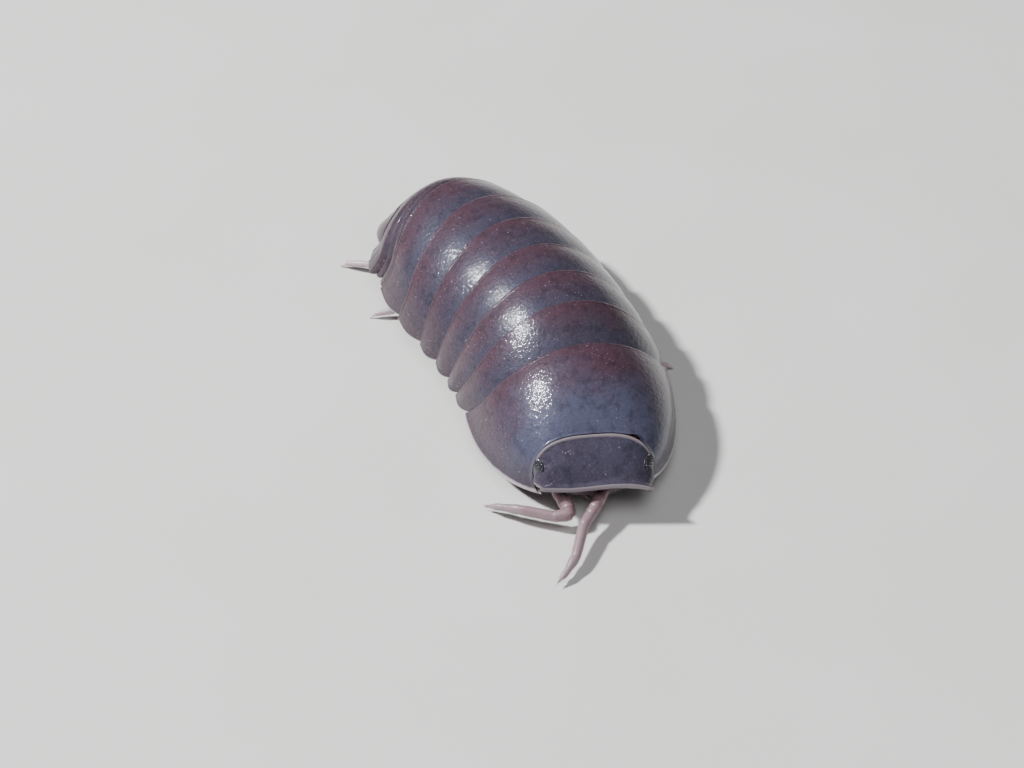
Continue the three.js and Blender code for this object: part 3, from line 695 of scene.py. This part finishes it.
def fan_plate(side, word):
    """A uropod's flat outer plate, which fills the tail fan between the end plate and the last tail
    plate, with its small inner branch under it."""
    fan = Pile()
    rings, marks = [], []
    for t in FAN_STEPS:
        y = FAN_START + FAN_LENGTH * t
        inner_x = np.interp(y, [7.3, 7.8, 8.06, 8.35], [1.0, 0.9, 0.74, 0.74])
        inner_z = back_height(y) - np.interp(y, [7.3, 8.35], [0.3, 0.16])
        outer_x = mix(1.98, 1.42, t ** 1.6)
        outer_z = np.interp(y, [7.3, 8.35], [1.1, 0.98])
        past = max(0.0, (t - FAN_ROUND_FROM) / (1 - FAN_ROUND_FROM))
        end = math.sqrt(max(0.0, 1 - past ** 2))
        outer_x = mix(mix(inner_x, outer_x, 0.35), outer_x, end)
        inner_x = mix(mix(inner_x, outer_x, 0.35), inner_x, max(end, 0.1))
        u = np.linspace(0, 1, 17)
        rounded = np.sqrt(np.clip(1 - np.abs(2 * u - 1) ** 6, 0, 1))
        half = rounded * FAN_HALF_THICK * max(end, 0.15) * 0.7
        x = mix(inner_x, outer_x, u) + 0.16 * np.sin(np.pi * u)
        z = mix(inner_z, outer_z, u) + 0.1 * np.sin(np.pi * u)
        top = np.stack([side * (x + half), np.full_like(x, y), z + half], -1)
        under = np.stack([side * (x - half), np.full_like(x, y - 0.02), z - half], -1)[1:-1][::-1]
        rings.append(np.concatenate([top, under]))
        marks.append(np.tile([t, 0.75, smooth_step(t, 0.93, 1.0) * 0.8], (len(rings[-1]), 1)))
    fan.rings(rings, np.array(marks))
    article(fan, (side * 0.62, 7.72, 1.16), (side * 0.56, 8.18, 1.04), (0.08, 0.075, 0.06, 0.03), 1,
            joint=0.0)
    fan.build(f"uropod_{word}_fine", TAIL_SHELL, (f"uropod_{word}",))


FLAP_FIRST_Y, FLAP_STEP, FLAP_LENGTH = 5.45, 0.33, 0.62
FLAP_INNER_X, FLAP_HALF_THICK = 0.16, 0.045


def gill_flaps(side, word):
    """Five flat flaps under the tail, each over the next, the first two with a white lung patch."""
    flaps = Pile()
    for i in range(5):
        y0 = FLAP_FIRST_Y + FLAP_STEP * i
        wide = 0.95 + 0.09 * i
        rings = []
        for s in np.linspace(0, 1, 14):
            shape = math.sqrt(max(0.0, 1 - max(0.0, (s - 0.35) / 0.65) ** 2.6))
            reach = (wide - FLAP_INNER_X) * (0.75 + 0.25 * min(1, s * 4)) * max(shape, 0.12)
            a = round_angles(24)
            c = np.cos(a)
            x = FLAP_INNER_X + reach / 2 + np.sign(c) * np.abs(c) ** 0.6 * reach / 2
            y = np.full_like(x, y0 + s * FLAP_LENGTH)
            z = 1.74 - 0.07 * i - 0.42 * s + np.sin(a) * FLAP_HALF_THICK * max(shape, 0.2)
            rings.append(np.stack([side * x, y, z], -1))
        rings = np.array(rings)
        marks = np.zeros(rings.shape)
        if i < 2:
            off_x = (np.abs(rings[..., 0]) - 0.68) / 0.3
            off_y = (rings[..., 1] - y0 - 0.32) / 0.2
            marks[..., 0] = np.exp(-(off_x ** 2 + off_y ** 2) ** 2)
        flaps.rings(rings, marks)
    flaps.build(f"gill_flaps_{word}", GILL, (f"pleopods_{word}",))


for side, word in SIDES:
    fan_plate(side, word)
    gill_flaps(side, word)

# Head. The upper surface runs from the neck over the rim behind the crown to the brow, and down
# the face. Each line across it is given at the head's angles from the crown: half width, place
# along the body and height.
HEAD_ANGLES = (0, 15, 32, 48, 62, 75, 90)
HEAD_LINES = [
    # neck, tucked under the hood
    ((0, 0.62, 1.15, 1.5, 1.7, 1.72, 1.6),
     (-6.6, -6.6, -6.62, -6.66, -6.74, -6.84, -6.9),
     (2.5, 2.46, 2.34, 2.12, 1.86, 1.6, 1.4)),
    ((0, 0.7, 1.3, 1.7, 1.9, 1.94, 1.8),
     (-6.92, -6.94, -7.0, -7.12, -7.27, -7.42, -7.5),
     (2.76, 2.74, 2.6, 2.33, 1.98, 1.58, 1.32)),
    # rim behind the crown
    ((0, 0.73, 1.35, 1.77, 1.98, 2.0, 1.82),
     (-7.0, -7.02, -7.09, -7.23, -7.4, -7.56, -7.66),
     (2.88, 2.86, 2.7, 2.41, 2.02, 1.56, 1.26)),
    ((0, 0.73, 1.35, 1.77, 1.98, 2.0, 1.82),
     (-7.07, -7.09, -7.16, -7.3, -7.46, -7.61, -7.7),
     (2.9, 2.88, 2.72, 2.42, 2.02, 1.56, 1.26)),
    # crown in front of the rim
    ((0, 0.72, 1.33, 1.74, 1.95, 1.97, 1.8),
     (-7.13, -7.15, -7.22, -7.36, -7.51, -7.65, -7.72),
     (2.82, 2.8, 2.65, 2.36, 1.98, 1.55, 1.27)),
    ((0, 0.71, 1.31, 1.71, 1.94, 2.02, 1.92),
     (-7.3, -7.31, -7.36, -7.48, -7.62, -7.74, -7.78),
     (2.72, 2.7, 2.56, 2.28, 1.93, 1.55, 1.3)),
    ((0, 0.7, 1.28, 1.68, 1.92, 2.02, 1.94),
     (-7.58, -7.58, -7.6, -7.66, -7.76, -7.86, -7.88),
     (2.55, 2.53, 2.4, 2.15, 1.87, 1.57, 1.36)),
    ((0, 0.68, 1.25, 1.62, 1.84, 1.95, 1.9),
     (-7.85, -7.85, -7.86, -7.88, -7.93, -7.99, -8.0),
     (2.33, 2.31, 2.21, 2.02, 1.81, 1.6, 1.43)),
    ((0, 0.67, 1.22, 1.56, 1.75, 1.84, 1.82),
     (-8.07, -8.07, -8.07, -8.08, -8.1, -8.13, -8.14),
     (2.1, 2.08, 2.01, 1.89, 1.76, 1.62, 1.5)),
    # hollow behind the brow
    ((0, 0.68, 1.23, 1.55, 1.7, 1.73, 1.69),
     (-8.22, -8.22, -8.22, -8.22, -8.22, -8.23, -8.24),
     (1.92, 1.91, 1.87, 1.8, 1.72, 1.63, 1.54)),
    # brow
    ((0, 0.7, 1.28, 1.62, 1.78, 1.8, 1.76),
     (-8.31, -8.31, -8.31, -8.31, -8.31, -8.31, -8.3),
     (1.88, 1.88, 1.86, 1.81, 1.75, 1.67, 1.58)),
    ((0, 0.72, 1.32, 1.68, 1.86, 1.89, 1.84),
     (-8.38, -8.38, -8.38, -8.38, -8.38, -8.37, -8.36),
     (1.87, 1.87, 1.86, 1.82, 1.77, 1.7, 1.62)),
    ((0, 0.72, 1.32, 1.68, 1.86, 1.88, 1.83),
     (-8.42, -8.42, -8.42, -8.42, -8.41, -8.4, -8.39),
     (1.83, 1.83, 1.82, 1.79, 1.74, 1.68, 1.61)),
    ((0, 0.71, 1.31, 1.66, 1.84, 1.85, 1.8),
     (-8.43, -8.43, -8.43, -8.43, -8.42, -8.41, -8.4),
     (1.77, 1.77, 1.76, 1.74, 1.7, 1.65, 1.59)),
    ((0, 0.7, 1.29, 1.63, 1.8, 1.81, 1.76),
     (-8.41, -8.41, -8.41, -8.41, -8.4, -8.38, -8.37),
     (1.66, 1.66, 1.65, 1.64, 1.62, 1.59, 1.55)),
    # face under the brow, going back and down
    ((0, 0.66, 1.22, 1.55, 1.71, 1.72, 1.66),
     (-8.28, -8.28, -8.28, -8.27, -8.25, -8.22, -8.2),
     (1.62, 1.62, 1.61, 1.59, 1.55, 1.5, 1.45)),
    ((0, 0.6, 1.12, 1.42, 1.55, 1.55, 1.5),
     (-8.16, -8.16, -8.14, -8.1, -8.04, -7.98, -7.95),
     (1.46, 1.46, 1.45, 1.42, 1.38, 1.34, 1.3)),
    ((0, 0.5, 0.95, 1.22, 1.35, 1.4, 1.4),
     (-8.06, -8.05, -8.0, -7.92, -7.82, -7.72, -7.65),
     (1.15, 1.16, 1.18, 1.2, 1.22, 1.22, 1.22)),
    ((0, 0.42, 0.8, 1.05, 1.2, 1.28, 1.3),
     (-7.95, -7.94, -7.88, -7.78, -7.64, -7.5, -7.42),
     (0.86, 0.88, 0.93, 1.0, 1.08, 1.13, 1.16)),
]
RIM_LINE, RIM_WIDE = 2.85, 1.1         # the pale rim behind the crown, counted in lines
BROW_LINES = (10.9, 11.6, 13.8, 14.5)  # where the pale brow starts, is full, starts to go, and ends
FACE_LINES = (14, 15)                  # where the face starts and is full
BROW_Y = (7.9, 8.35)                   # distance forward over which the brow is shifted and skewed
SKEW = 0.1                             # the brow hangs lower on the right, rises on the left


def head_line(line, deg):
    a = np.abs(deg)
    x, y, z = [smooth_line(a, HEAD_ANGLES, values) for values in line]
    on_brow = smooth_step(-y, *BROW_Y)
    x = np.sign(deg) * x + 0.06 * on_brow
    skew = SKEW * np.sin(np.pi * np.clip(x / 1.85, -1, 1)) * on_brow * (z > 1.5)
    return np.stack([x, y, z + skew], -1)


HEAD_DEGS = np.linspace(-90, 90, 121)
lines = np.array([head_line(line, HEAD_DEGS) for line in HEAD_LINES])
line_at = np.arange(len(HEAD_LINES))
fine_at = np.linspace(0, len(HEAD_LINES) - 1, 5 * (len(HEAD_LINES) - 1) + 1)
upper = np.stack([[smooth_line(fine_at, line_at, lines[:, c, i]) for c in range(len(HEAD_DEGS))]
                  for i in range(3)], -1).transpose(1, 0, 2)
# the head's inner face: narrower, a little back, and drawn toward its middle height
inner = np.stack([upper[..., 0] * 0.88, upper[..., 1] * 0.985 + 0.02,
                  mix(upper[..., 2], 1.5, 0.12)], -1)

rim_mark = np.exp(-((fine_at - RIM_LINE) / RIM_WIDE) ** 2)
brow_mark = smooth_step(fine_at, *BROW_LINES[:2]) * (1 - smooth_step(fine_at, *BROW_LINES[2:]))
face_mark = smooth_step(fine_at, *FACE_LINES)[:, None]
between = ((fine_at > 3.5) & (fine_at < 11))[:, None]
side_edge = smooth_step(np.abs(HEAD_DEGS), 70, 78) * between
pale = np.maximum(np.maximum(rim_mark, brow_mark)[:, None], 0.8 * side_edge)
head_marks = np.broadcast_arrays(0.25 + 0.6 * face_mark, 0.5 * face_mark, pale)
closed_sheet("head_fine", upper, inner, np.stack(head_marks, -1), 0.3,
             HEAD_SHELL, ("head",))

# Eyes: each a low oval patch of small round lenses, set square to the side of the crown. A row of
# lenses is given by its height on the patch and its number of lenses.
EYE_AT, EYE_FACES = (1.83, -7.58, 2.06), (0.64, -0.5, 0.58)
EYE_LONG, EYE_WIDE, EYE_DEEP = 0.31, 0.19, 0.05        # half sizes
LENS_RADIUS, LENS_HEIGHT, LENS_STEP = 0.034, 0.026, 0.094
LENS_ROWS = ((-0.13, 4), (-0.065, 5), (0.0, 6), (0.065, 5), (0.13, 4))


def eye(side, word):
    patch = Pile()
    out = np.array([side * EYE_FACES[0], EYE_FACES[1], EYE_FACES[2]])
    out /= np.linalg.norm(out)
    back = np.array([0.0, 1.0, 0.0]) - out * out[1]
    back /= np.linalg.norm(back)
    upward = np.cross(out, back)
    if upward[2] < 0:
        upward = -upward

    def oval(centre, long, wide, count):
        a = round_angles(count)
        return centre + np.outer(np.cos(a) * long, back) + np.outer(np.sin(a) * wide, upward)

    centre = np.array([side * EYE_AT[0], EYE_AT[1], EYE_AT[2]])
    base = []
    for s in np.linspace(-0.95, 0.9, 9):
        r = math.sqrt(1 - s * s)
        base.append(oval(centre + out * (EYE_DEEP * s), EYE_LONG * r, EYE_WIDE * r, 24))
    patch.rings(base)
    for row, count in LENS_ROWS:
        for i in range(count):
            along = (i - (count - 1) / 2) * LENS_STEP + 0.01 * math.sin(7 * row + i)
            level = max(1 - (along / EYE_LONG) ** 2 - (row / EYE_WIDE) ** 2, 0.05)
            at = centre + back * along + upward * row + out * EYE_DEEP * math.sqrt(level)
            lens = []
            for s in np.linspace(-0.5, 0.98, 6):
                r = math.sqrt(1 - s * s) * LENS_RADIUS
                lens.append(oval(at + out * (LENS_HEIGHT * s), r, r, 10))
            patch.rings(lens)
    patch.build(f"eye_{word}_lenses", EYES, (f"eye_{word}",))


for side, word in SIDES:
    eye(side, word)

# Feelers: the joints from the root to the tip, each with its radius.
FEELERS = {
    "right": [((-1.24, -7.95, 1.1), 0.23), ((-0.92, -8.4, 0.9), 0.27),
              ((-0.84, -8.68, 0.74), 0.25), ((-1.34, -8.75, 0.69), 0.21),
              ((-2.45, -8.45, 0.72), 0.2), ((-3.05, -8.13, 0.55), 0.15),
              ((-3.62, -7.75, 0.3), 0.06)],
    "left": [((0.42, -7.85, 1.1), 0.2), ((0.14, -8.32, 0.98), 0.23),
             ((0.0, -8.56, 0.92), 0.23), ((-0.13, -8.78, 0.86), 0.22),
             ((-0.36, -9.18, 0.76), 0.21), ((-0.61, -10.3, 0.5), 0.19),
             ((-0.89, -10.82, 0.38), 0.13), ((-1.16, -11.17, 0.27), 0.05)],
}
FEELER_BRISTLES, FEELER_BRISTLE_RADIUS, PLACES_ROUND_FEELER = 16, 0.006, 36
TIP_BRISTLE, TIP_BRISTLE_RADIUS = 0.16, 0.02
for word, joints in FEELERS.items():
    feeler = Pile()
    for i, ((a, ra), (b, rb)) in enumerate(zip(joints, joints[1:])):
        radii = (ra * 0.92, ra, ra * 0.97, (ra + rb) / 2, rb * 1.04, rb * 0.97)
        article(feeler, a, b, radii, (i / (len(joints) - 2)) ** 2)
        a, b = np.array(a), np.array(b)
        for _ in range(FEELER_BRISTLES):
            t = random.uniform(0.1, 0.98)
            around = random.uniform(0, 2 * math.pi)
            radius = mix(ra, rb, t) * 0.9
            ring, d = ring_at(a, b, t, radius, PLACES_ROUND_FEELER)
            root = ring[int(around / (2 * math.pi) * PLACES_ROUND_FEELER) % PLACES_ROUND_FEELER]
            outward = (root - (a + (b - a) * t)) / radius
            bristle(feeler, root, outward * 0.7 + d, random.uniform(0.05, 0.09),
                    FEELER_BRISTLE_RADIUS, 1)
    tip, before_tip = np.array(joints[-1][0]), np.array(joints[-2][0])
    bristle(feeler, tip, tip - before_tip, TIP_BRISTLE, TIP_BRISTLE_RADIUS, 1)
    feeler.build(f"feeler_{word}", FEELER, (f"antenna_{word}",))

# Legs: the hip's x and y, and the x and y of the knee and of each side's foot.
LEGS = [
    dict(x=1.78, y=-5.0, knee=(0.9, -5.2), right=(2.45, -6.1), left=(2.4, -5.95)),
    dict(x=1.98, y=-3.5, knee=(1.0, -3.6), right=(2.85, -4.55), left=(2.9, -4.3)),
    dict(x=1.98, y=-2.18, knee=(1.0, -2.15), right=(2.9, -2.65), left=(4.42, -2.55)),
    dict(x=1.98, y=-0.78, knee=(1.0, -0.68), right=(2.9, -1.0), left=(2.95, -0.7)),
    dict(x=1.98, y=0.7, knee=(1.0, 0.9), right=(2.9, 1.15), left=(2.95, 1.45)),
    dict(x=1.98, y=2.3, knee=(1.0, 2.65), right=(4.1, 5.25), left=(3.0, 3.4)),
    dict(x=1.84, y=4.05, knee=(1.12, 4.75), right=(3.12, 8.62), left=(2.85, 6.1)),
]
ARTICLE_RADII = [(0.3, 0.27, 0.22), (0.2, 0.25, 0.24, 0.2), (0.17, 0.2, 0.19),
                 (0.16, 0.2, 0.2, 0.17), (0.15, 0.18, 0.175, 0.14),
                 (0.13, 0.145, 0.13, 0.1), (0.08, 0.06, 0.035, 0.012)]
# joints between knee and foot: share of the way and height, for a tucked and a stretched leg
TUCKED = ((0.4, 0.74), (0.84, 0.6), (0.97, 0.22), (1, 0.012))
STRETCHED = ((0.36, 0.6), (0.72, 0.42), (0.93, 0.24), (1, 0.012))
STRETCHED_FROM = 2.9         # distance from knee to foot
LEG_BRISTLE_RADIUS, PLACES_ROUND_LEG, LOWEST_BRISTLE = 0.008, 24, 0.03


def leg_joints(leg, side, foot):
    kx, ky = leg["knee"]
    stretched = math.hypot(foot[0] - kx, foot[1] - ky) > STRETCHED_FROM
    joints = [(side * leg["x"], leg["y"], 2.3), (side * (leg["x"] - 0.02), leg["y"] + 0.02, 1.56),
              (side * (kx - 0.04), mix(leg["y"], ky, 0.95), 1.42), (side * (kx - 0.06), ky, 0.92)]
    joints += [(side * mix(kx, foot[0], t), mix(ky, foot[1], t), z)
               for t, z in (STRETCHED if stretched else TUCKED)]
    return [np.array(joint) for joint in joints]


def leg_bristles(limb, a, b, radii, count):
    for _ in range(count):
        t = random.uniform(0.15, 0.98)
        radius = float(np.interp(t, np.linspace(0, 1, len(radii)), radii)) * 0.85
        ring, d = ring_at(a, b, t, radius, PLACES_ROUND_LEG)
        root = ring[random.randrange(PLACES_ROUND_LEG)]
        outward = (root - (a + (b - a) * t)) / radius
        aim = outward * 0.8 + d * 0.8
        if root[2] + aim[2] * 0.1 < LOWEST_BRISTLE:
            continue
        bristle(limb, root, aim, random.uniform(0.06, 0.12), LEG_BRISTLE_RADIUS, 0.4)


for number, leg in enumerate(LEGS, 1):
    for side, word in SIDES:
        joints = leg_joints(leg, side, leg[word])
        limb = Pile()
        for i, radii in enumerate(ARTICLE_RADII):
            article(limb, joints[i], joints[i + 1], radii, max(0.0, (i - 3) / 3) ** 2, flat=0.85)
            if i >= 2:
                leg_bristles(limb, joints[i], joints[i + 1], radii, 9 if i < 6 else 2)
        limb.build(f"leg_{word}_{number}_fine", LEG, (f"leg_{word}_{number}",))

# Mouthparts, folded together under the face and coloured dark as painted shade: start, end, radii,
# how pale, and width over height.
MOUTHPARTS = [
    ((0.3, -6.95, 0.72), (0.26, -7.5, 0.5), (0.2, 0.26, 0.25, 0.2), 0.2, 1.15),
    ((0.22, -7.45, 0.5), (0.16, -7.74, 0.5), (0.12, 0.13, 0.08), 0.6, 0.9),
    ((0.48, -7.3, 0.82), (0.38, -7.6, 0.64), (0.14, 0.15, 0.1), 0.4, 0.9),
    ((0.4, -7.55, 0.86), (0.16, -7.72, 0.76), (0.16, 0.16, 0.1), 0.0, 0.9),
]
mouth = Pile()
for side, _ in SIDES:
    for start, end, radii, pale, flat in MOUTHPARTS:
        article(mouth, (side * start[0], *start[1:]), (side * end[0], *end[1:]), radii, pale, flat)
mouth.build("mouthparts_fine", MOUTH_PAINTED_SHADE, ("mouthparts",))

# Floor.
FLOOR_REACH = 2.5            # metres each way
floor_corners = [(x * FLOOR_REACH, y * FLOOR_REACH, 0)
                 for x, y in ((-1, -1), (1, -1), (1, 1), (-1, 1))]
floor_mesh = bpy.data.meshes.new("floor")
floor_mesh.from_pydata(floor_corners, [], [(0, 1, 2, 3)])
floor_mesh.materials.append(floor_look())
floor = bpy.data.objects.new("floor", floor_mesh)
bpy.context.scene.collection.objects.link(floor)


# Camera and light.
def direction_to(azimuth, elevation):
    """Unit vector toward a place at an azimuth and elevation in degrees, from the front."""
    a, e = math.radians(azimuth), math.radians(elevation)
    return Vector((math.sin(a) * math.cos(e), -math.cos(a) * math.cos(e), math.sin(e)))


AZIMUTH, ELEVATION, ROLL = -26.313, 46.205, math.radians(-0.43)
DISTANCE = 65.085 * MM
TARGET = Vector(((-2.205 - MIDDLE[0]) * MM, (-2.825 - MIDDLE[1]) * MM, 2.0 * MM))
FOCAL_PIXELS, FRAME_WIDTH = 1876.364, 1024       # focal length and width of the frame in pixels
SENSOR = 36

back = direction_to(AZIMUTH, ELEVATION)
right = Vector((math.cos(math.radians(AZIMUTH)), math.sin(math.radians(AZIMUTH)), 0))
up = back.cross(right)
tilted_right = right * math.cos(ROLL) + up * math.sin(ROLL)
tilted_up = up * math.cos(ROLL) - right * math.sin(ROLL)
camera_data = bpy.data.cameras.new("camera")
camera_data.sensor_fit = "HORIZONTAL"
camera_data.sensor_width = SENSOR
camera_data.lens = SENSOR * FOCAL_PIXELS / FRAME_WIDTH
camera_data.clip_start = 0.002
camera_data.clip_end = 5
camera = bpy.data.objects.new("camera", camera_data)
turn = Matrix((tilted_right, tilted_up, back)).transposed().to_4x4()
camera.matrix_world = Matrix.Translation(TARGET + back * DISTANCE) @ turn
bpy.context.scene.collection.objects.link(camera)
bpy.context.scene.camera = camera

LIGHT_DISTANCE = 0.3


def soft_light(name, azimuth, elevation, size, power, colour, glossy=False):
    """A round soft light. Only the glossy one is mirrored in the shell."""
    data = bpy.data.lights.new(name, "AREA")
    data.shape = "DISK"
    data.size = size
    data.energy = power
    data.color = colour
    lamp = bpy.data.objects.new(name, data)
    toward = direction_to(azimuth, elevation)
    lamp.location = toward * LIGHT_DISTANCE
    lamp.rotation_euler = toward.to_track_quat("Z", "Y").to_euler()
    lamp.visible_glossy = glossy
    bpy.context.scene.collection.objects.link(lamp)


soft_light("key_light", -118, 50, 0.028, 1.95, (0.97, 0.985, 1.0), glossy=True)
soft_light("fill_light", -20, 68, 0.16, 0.36, (0.95, 0.96, 1.0))
soft_light("low_light", 75, 35, 0.2, 0.03, (0.95, 0.97, 1.0))
world = bpy.data.worlds.new("studio")
world.use_nodes = True
background = world.node_tree.nodes["Background"]
background.inputs["Color"].default_value = (0.82, 0.85, 0.9, 1)
background.inputs["Strength"].default_value = 0.1
bpy.context.scene.world = world

bpy.context.view_layer.update()
